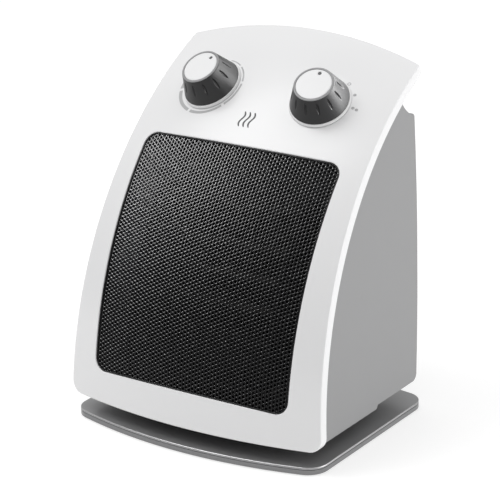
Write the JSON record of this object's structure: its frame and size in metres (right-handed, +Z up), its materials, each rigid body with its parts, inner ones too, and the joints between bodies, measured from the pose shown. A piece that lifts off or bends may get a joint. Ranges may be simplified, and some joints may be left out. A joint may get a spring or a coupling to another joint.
{
  "type": "ceramic space heater",
  "caption": "Compact ceramic fan heater with a bowed front panel, black mesh outlet, two dials, a two-shell body and a thin plinth.",
  "frame": {"origin": "middle of the bounding box's bottom face, on the surface the heater stands on", "axes": "+Z up, the front panel faces -Y, +X is to the right of someone looking at the front"},
  "size_m": [0.1882, 0.1543, 0.2389],
  "materials": {
    "white_shell": "glossy white ABS",
    "black_plastic": "satin black",
    "black_mesh": "black coated wire mesh",
    "grey_shell": "fine satin silver-grey",
    "dark_plastic": "satin dark grey",
    "silver_gloss": "glossy silver-grey lacquer",
    "silver_edge": "satin silver-grey lacquer",
    "foot_rubber": "matt",
    "knob_metallic": "satin metallic grey",
    "knob_cap_white": "glossy white",
    "brass": "plain",
    "cream_plastic": "moulded",
    "zinc": "zinc plated",
    "steel": "ground",
    "heat_plastic": "glass-filled, matt",
    "fin_aluminium": "thin strip",
    "ptc_ceramic": "fired ceramic in foil",
    "impeller_plastic": "moulded",
    "lamination": "stacked steel laminations",
    "copper_coil": "taped copper winding"
  },
  "bodies": {
    "root": {"front_panel": "white_shell", "grille_bezel": "black_plastic", "grille_mesh": "black_mesh", "front_shell": "grey_shell", "rear_shell": "grey_shell", "neck": "dark_plastic", "plinth_top": "silver_gloss", "plinth_base": "silver_edge", "rubber_feet": "foot_rubber", "thermostat_case": "cream_plastic", "mode_switch_case": "dark_plastic", "spindle_nuts": "zinc", "control_bracket": "zinc", "heater_frame": "heat_plastic", "outlet_duct": "heat_plastic", "ptc_fins": "fin_aluminium", "ptc_plates": "ptc_ceramic", "ptc_terminals": "brass", "thermal_cutout": "dark_plastic", "thermal_fuse": "cream_plastic", "fan_shroud": "heat_plastic", "motor_stator": "lamination", "motor_coil": "copper_coil", "motor_front_bridge": "zinc", "motor_rear_bridge": "zinc", "motor_bushes": "brass", "tip_switch_case": "dark_plastic", "tip_spring": "steel", "terminal_block": "cream_plastic", "cord_grommet": "foot_rubber", "shell_screws": "zinc", "plinth_screws": "zinc", "bracket_screws": "zinc", "motor_screws": "zinc", "frame_screws": "zinc"},
    "thermostat_knob": {"thermostat_knob": "knob_metallic", "thermostat_knob_cap": "knob_cap_white", "thermostat_spindle": "brass"},
    "mode_knob": {"mode_knob": "knob_metallic", "mode_knob_cap": "knob_cap_white", "mode_spindle": "brass"},
    "fan_rotor": {"impeller": "impeller_plastic", "motor_shaft": "steel", "motor_rotor": "steel"},
    "tip_plunger": {"tip_plunger": "cream_plastic"}
  },
  "joints": [
    {"name": "thermostat_turn", "type": "hinge", "parent": "root", "child": "thermostat_knob", "pos_m": [-0.0402, 0.02475, 0.20732], "axis": [0.1097, 0.5982, -0.7938], "range_deg": [0, 262]},
    {"name": "mode_turn", "type": "hinge", "parent": "root", "child": "mode_knob", "pos_m": [0.0402, 0.02475, 0.20732], "axis": [-0.1097, 0.5982, -0.7938], "range_deg": [0, 90]},
    {"name": "fan_spin", "type": "hinge", "parent": "root", "child": "fan_rotor", "pos_m": [0, 0.035, 0.098], "axis": [0, 1, 0], "continuous": true},
    {"name": "tip_plunge", "type": "slide", "parent": "root", "child": "tip_plunger", "axis": [0, 0, 1], "range_m": [-0.004, 0], "stiffness_N_per_m": 60, "springref_m": -0.008, "deforming": ["tip_spring"]}
  ]
}
